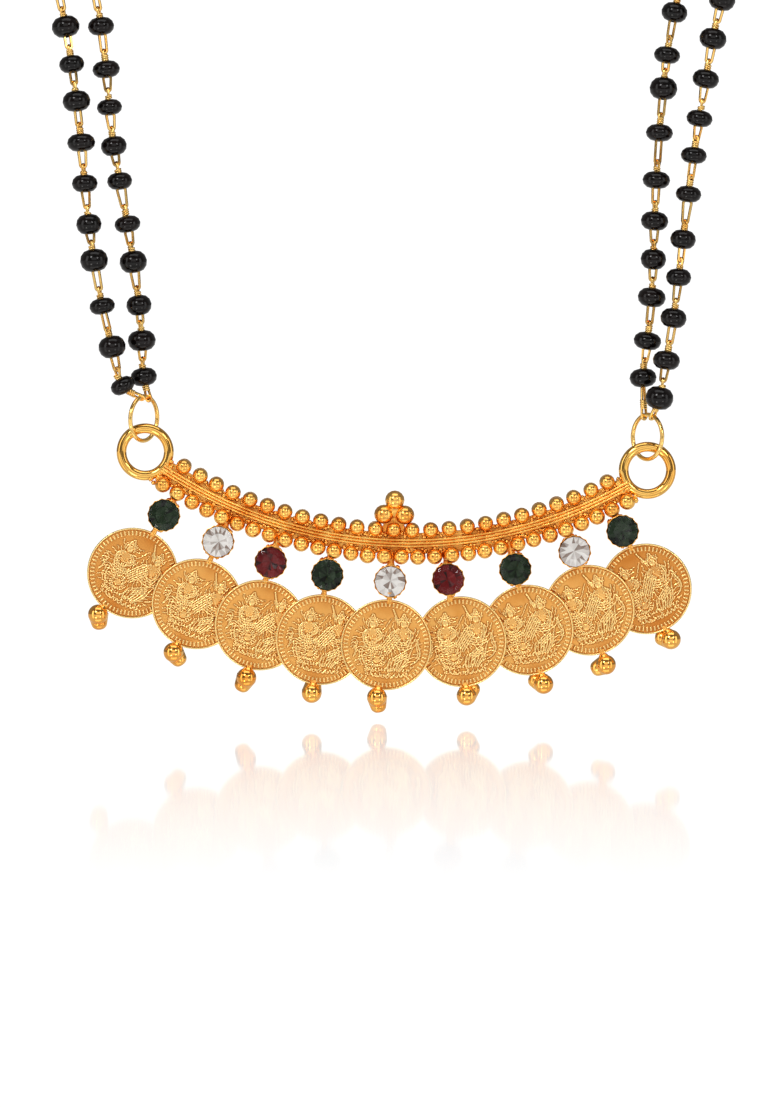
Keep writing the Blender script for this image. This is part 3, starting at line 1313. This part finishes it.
class NECKLACE_OT_eye_pins(bpy.types.Operator):
    """Bend one eye from a ring of wire, and link every bead to the next with a pair of them"""
    bl_idname = "necklace.eye_pins"
    bl_label = "Eye pins"

    def execute(self, context):
        s = settings().strings
        chance = random.Random(s.seed + 1)
        ring, wrap = self.ring_of_wire(), self.wrap_of_wire()
        wrap_step = 0.24 * MM
        grip = 2 * s.pin_radius + WIRE_GAP
        narrow, loop, eye = 0.16 * MM, s.loop_half_width, s.eye_half_width
        for name, (side, lane) in STRINGS.items():
            run = bead_run(name)
            wires = []
            start, start_way = front_eye(side, lane)
            first_bottom = run[0][0] - 0.5 * MM * run[0][1]
            down = (start - first_bottom).normalized()
            hook = start + (s.jump_wire + s.pin_radius + WIRE_GAP) * down
            wires.append(self.drawn_out(ring, first_bottom, hook, start_way.cross(down), narrow, eye))
            for turn in range(4):
                rise = 0.8 * MM + wrap_step * turn
                wires.append(placed_copy(wrap, Matrix.Translation(start - rise * down) @ facing(-down)))
            for (low, low_axis, low_size), (high, high_axis, high_size) in zip(run, run[1:]):
                top = low + 0.55 * low_size * low_axis
                bottom = high - 0.45 * high_size * high_axis
                way = (top - bottom).normalized()
                meet = top - way * min(1.15 * MM, 0.6 * (top - bottom).length)
                level = way.cross(Vector((0, -1, 0)))
                sideways = Matrix.Rotation(chance.uniform(-0.5, 0.5), 3, way) @ level
                quarter = chance.choice((-1, 1)) * chance.uniform(0.9, 1.3)
                across = Matrix.Rotation(quarter, 3, way) @ sideways
                wires.append(self.drawn_out(ring, bottom, meet + way * grip / 2, sideways,
                                            chance.uniform(0.6, 1.05) * loop, eye))
                wires.append(self.drawn_out(ring, meet - way * grip / 2, top, across, eye, narrow))
                spin = Matrix.Rotation(chance.uniform(0, math.tau), 4, "Z")
                for turn in range(chance.choice((2, 3))):
                    rise = 0.66 * low_size + wrap_step * turn
                    wires.append(placed_copy(wrap, Matrix.Translation(low + rise * low_axis)
                                             @ facing(low_axis) @ spin))
            end, end_way = back_eye(side, lane)
            last_top = run[-1][0] + 0.5 * MM * run[-1][1]
            up = (end - last_top).normalized()
            hook = end + (CLASP_RING_WIRE + s.pin_radius + WIRE_GAP) * up
            wires.append(self.drawn_out(ring, last_top, hook, end_way.cross(up), narrow, eye))
            finished(joined(wires), f"{name}_pins", "necklace", f"{name}_wire",
                     [finish("wire_gold")], 60)
        remove(ring, wrap)
        return {"FINISHED"}

    def ring_of_wire(self):
        """A ring with a radius of 1 mm, before it is drawn out into an eye"""
        start_fresh()
        bpy.ops.mesh.primitive_torus_add(major_radius=MM, minor_radius=settings().strings.pin_radius,
                                         major_segments=14, minor_segments=6,
                                         rotation=(0, math.radians(90), 0))
        ring = active()
        apply_place()
        return ring

    def wrap_of_wire(self):
        """One turn of the thin wire that is wound round the foot of an eye"""
        start_fresh()
        bpy.ops.mesh.primitive_torus_add(major_radius=0.3 * MM, minor_radius=0.13 * MM,
                                         major_segments=10, minor_segments=6)
        wrap = active()
        edit_mode(wrap, "VERT")
        pick(wrap, "verts", lambda v: v.co.y > 0.1 * MM)
        bpy.ops.transform.translate(value=(0, 0, 0.14 * MM))
        object_mode()
        return wrap

    def drawn_out(self, ring, start, end, side, low_width, high_width):
        """A copy of the ring, bent to an eye from one end of its centre line to the other"""
        copy = placed_copy(ring, Matrix.Identity(4))
        length = (end - start).length
        for vertex in copy.data.vertices:
            centre = vertex.co.copy()
            centre.x = 0
            centre = centre.normalized() * MM
            wall = vertex.co - centre
            width = high_width if centre.z > 0 else low_width
            bend = min(width, length / 2)
            place = centre.z / MM * bend + (length - bend if centre.z > 0 else bend)
            vertex.co = Vector((0, centre.y / MM * width, place)) + wall
        copy.data.transform(Matrix.Translation(start) @ facing(end - start, side))
        return copy


class NECKLACE_OT_jump_rings(bpy.types.Operator):
    """Bend the two round jump rings"""
    bl_idname = "necklace.jump_rings"
    bl_label = "Jump rings"

    def execute(self, context):
        s = settings().strings
        up = Vector((0, 0, 1))
        for side, (node, _) in JUMP_RINGS.items():
            start_fresh()
            bpy.ops.mesh.primitive_torus_add(major_radius=s.jump_ring_radius, minor_radius=s.jump_wire,
                                             major_segments=72, minor_segments=14)
            ring = active()
            centre, forward = jump_ring_frame(side)
            ring.data.transform(Matrix.Translation(centre) @ facing(forward.cross(up), up))
            finished(ring, f"{node}_wire", "necklace", node, [finish("pale_gold")])
        return {"FINISHED"}


class NECKLACE_OT_clasp(bpy.types.Operator):
    """Turn the clasp's barrel with its end collars, and add its two rings"""
    bl_idname = "necklace.clasp"
    bl_label = "Clasp"

    def execute(self, context):
        parts = [self.barrel(3 * MM)]
        for side in (-1, 1):
            start_fresh()
            bpy.ops.mesh.primitive_torus_add(
                major_radius=CLASP_RING_RADIUS, minor_radius=CLASP_RING_WIRE, major_segments=40,
                minor_segments=12, location=(side * CLASP_RING_PLACE, CLASP_RADIUS, 0))
            apply_place()
            parts.append(active())
        clasp = joined(parts)
        outward_normals(clasp)
        finished(clasp, "clasp_barrel", "necklace", "clasp", [finish("pale_gold")])
        return {"FINISHED"}

    def barrel(self, half):
        """The barrel with two collars, laid level with its front at the nape"""
        start_fresh()
        bpy.ops.mesh.primitive_cylinder_add(vertices=32, radius=CLASP_RADIUS, depth=2 * half)
        barrel = active()
        edit_mode(barrel)
        for way in (1, -1):
            pick(barrel, "faces", lambda f: f.normal.z * way > 0.9)
            grow((0.84, 0.84, 1), (0, 0, 0.12 * MM * way))
            grow((0.84, 0.84, 1), (0, 0, 0.02 * MM * way))
            grow((1, 1, 1), (0, 0, 0.56 * MM * way))
        pick(barrel, "faces", lambda f: abs(f.normal.z) < 0.1 and abs(f.calc_center_median().z) < half)
        bpy.ops.mesh.inset(thickness=0.25 * MM)
        resize(0.95, 0.95)
        object_mode()
        soften(barrel, 0.00008, 35)
        barrel.data.transform(Matrix.Translation((0, CLASP_RADIUS, 0))
                              @ Matrix.Rotation(math.radians(90), 4, "Y"))
        return barrel


# Stage

class NECKLACE_OT_stage(bpy.types.Operator):
    """Set the camera, the white table, the wall behind it and the soft light"""
    bl_idname = "necklace.stage"
    bl_label = "Stage"

    def execute(self, context):
        s = settings().stage
        self.camera(s)
        self.table(s)
        self.lamps(s)
        self.surroundings()
        return {"FINISHED"}

    def camera(self, s):
        """Camera that looks a little down on the pendant from far in front"""
        target = Vector((-0.31, -105, -111.86)) * MM
        data = bpy.data.cameras.new("camera")
        data.sensor_fit, data.sensor_height = "VERTICAL", 24
        data.lens = data.sensor_height * s.distance / s.picture_height
        data.clip_start = 0.01
        camera = bpy.data.objects.new("camera", data)
        back = Vector((0, -math.cos(s.elevation), math.sin(s.elevation)))
        camera.matrix_world = (Matrix.Translation(target + s.distance * back)
                               @ Matrix.Rotation(math.radians(90) - s.elevation, 4, "X")
                               @ Matrix.Rotation(s.roll, 4, "Z"))
        scene = bpy.context.scene
        scene.collection.objects.link(camera)
        scene.camera = camera
        scene.view_settings.view_transform = "Standard"

    def table(self, s):
        """White table, level in the picture and faintly glossy, and a white wall far behind it"""
        foot = Matrix.Translation((0, -105 * MM, s.floor_height)) @ Matrix.Rotation(-s.roll, 4, "Y")
        # Size, place from under the pendant, turn, glow, and how much it mirrors
        for name, size, place, turn, light, gloss in (
                ("floor", (3, 1.45), (0, 0.28, 0), 0, 0.57, 0.5),
                ("wall", (0.75, 0.75), (0, 2.2, 0.2), 90, 1.1, 0.0)):
            start_fresh()
            bpy.ops.mesh.primitive_plane_add(size=1)
            sheet = active()
            sheet.data.transform(foot @ Matrix.Translation(place)
                                 @ Matrix.Rotation(math.radians(turn), 4, "X")
                                 @ Matrix.Diagonal((*size, 1, 1)))
            sheet.name = name
            sheet.data.materials.append(self.white_paint(f"{name}_paint", light, gloss))

    def white_paint(self, name, light, gloss):
        """White that glows, and glows less where it mirrors, from under the pendant backwards"""
        paint = new_paint(name)
        polish = paint.spread(paint.depth("Object"), 0.0, 1.0, -0.33, -0.13)
        glow = paint.add("ShaderNodeEmission",
                         {"Strength": paint.spread(polish, light + gloss, light)}, 0)
        tones = [(0, (0, 0, 0)), (1, shade((1, 0.98, 0.93), gloss))]
        mirror = paint.add("ShaderNodeBsdfGlossy",
                           {"Color": paint.ramp(polish, tones), "Roughness": 0.05}, 0)
        both = paint.add("ShaderNodeAddShader", {0: glow, 1: mirror}, 0)
        paint.fill(paint.tree.nodes["Material Output"], {"Surface": both})
        return paint.owner

    def lamps(self, s):
        """A broad fill behind the camera, softboxes at the sides and above, and two bright lamps"""
        target = Vector((0, -0.105, -0.1))
        for name, place, width, height, radiance in (
                ("front_fill", (0, -1.35, 0.28), 0.95, 0.6, 0.95),
                ("left_softbox", (-0.95, -0.6, 0.15), 0.35, 0.8, 1.8),
                ("right_softbox", (0.95, -0.55, 0.1), 0.35, 0.8, 1.5),
                ("top_softbox", (0, -0.35, 0.85), 1.0, 0.45, 1.6),
                ("left_lamp", (-0.45, -0.95, 0.5), 0.22, 0.22, 14),
                ("right_lamp", (0.5, -0.95, 0.35), 0.17, 0.22, 9)):
            light = bpy.data.lights.new(name, "AREA")
            light.shape, light.size, light.size_y = "RECTANGLE", width, height
            light.energy = radiance * s.light * math.pi * width * height
            lamp = bpy.data.objects.new(name, light)
            bpy.context.scene.collection.objects.link(lamp)
            lamp.location = place
            lamp.rotation_euler = (target - Vector(place)).to_track_quat("-Z", "Y").to_euler()

    def surroundings(self):
        """Room light: pale behind the necklace, dim on the side of the camera"""
        paint = Paint(bpy.data.worlds.new("studio"))
        behind = paint.spread(paint.depth("Generated"), 0.0, 1.0, -1.0, 1.0)
        tones = [(0.0, (0.17, 0.16, 0.15)), (0.35, (0.2, 0.19, 0.18)), (0.6, (0.3, 0.29, 0.28)),
                 (1.0, (0.25, 0.25, 0.25))]
        paint.fill(paint.tree.nodes["Background"], {"Color": paint.ramp(behind, tones)})
        bpy.context.scene.world = paint.owner


# Panel and registration

class NecklaceSettings(bpy.types.PropertyGroup):
    """All sizes and colours of the necklace"""
    bar: PointerProperty(type=BarSettings, name="Bar", description="Sizes of the curved bar")
    drops: PointerProperty(type=DropSettings, name="Drops", description="Sizes of the drops")
    strings: PointerProperty(type=StringSettings, name="Strings", description="Sizes of the strings")
    finish: PointerProperty(type=FinishSettings, name="Finish", description="Colours")
    stage: PointerProperty(type=StageSettings, name="Stage", description="Camera, floor and light")


OPERATORS = (NECKLACE_OT_stage, NECKLACE_OT_bar, NECKLACE_OT_granules, NECKLACE_OT_crest,
             NECKLACE_OT_end_rings, NECKLACE_OT_collets, NECKLACE_OT_stones, NECKLACE_OT_coins,
             NECKLACE_OT_end_balls, NECKLACE_OT_beads, NECKLACE_OT_eye_pins,
             NECKLACE_OT_jump_rings, NECKLACE_OT_clasp)


class NECKLACE_PT_panel(bpy.types.Panel):
    """Lists the pieces of the necklace and their sizes"""
    bl_label = "Temple necklace"
    bl_idname = "NECKLACE_PT_panel"
    bl_space_type = "VIEW_3D"
    bl_region_type = "UI"
    bl_category = "Necklace"

    def draw(self, context):
        for operator in OPERATORS:
            self.layout.operator(operator.bl_idname)
        for group in (settings().bar, settings().drops, settings().strings, settings().finish,
                      settings().stage):
            box = self.layout.box()
            for name in group.__annotations__:
                box.prop(group, name)


CLASSES = (BarSettings, DropSettings, StringSettings, FinishSettings, StageSettings,
           NecklaceSettings) + OPERATORS + (NECKLACE_PT_panel,)


def register():
    for cls in CLASSES:
        bpy.utils.register_class(cls)
    bpy.types.Scene.necklace = PointerProperty(type=NecklaceSettings)


def unregister():
    del bpy.types.Scene.necklace
    for cls in reversed(CLASSES):
        bpy.utils.unregister_class(cls)


def main():
    register()
    for operator in OPERATORS:
        group, name = operator.bl_idname.split(".")
        getattr(getattr(bpy.ops, group), name)()


if __name__ == "__main__":
    main()
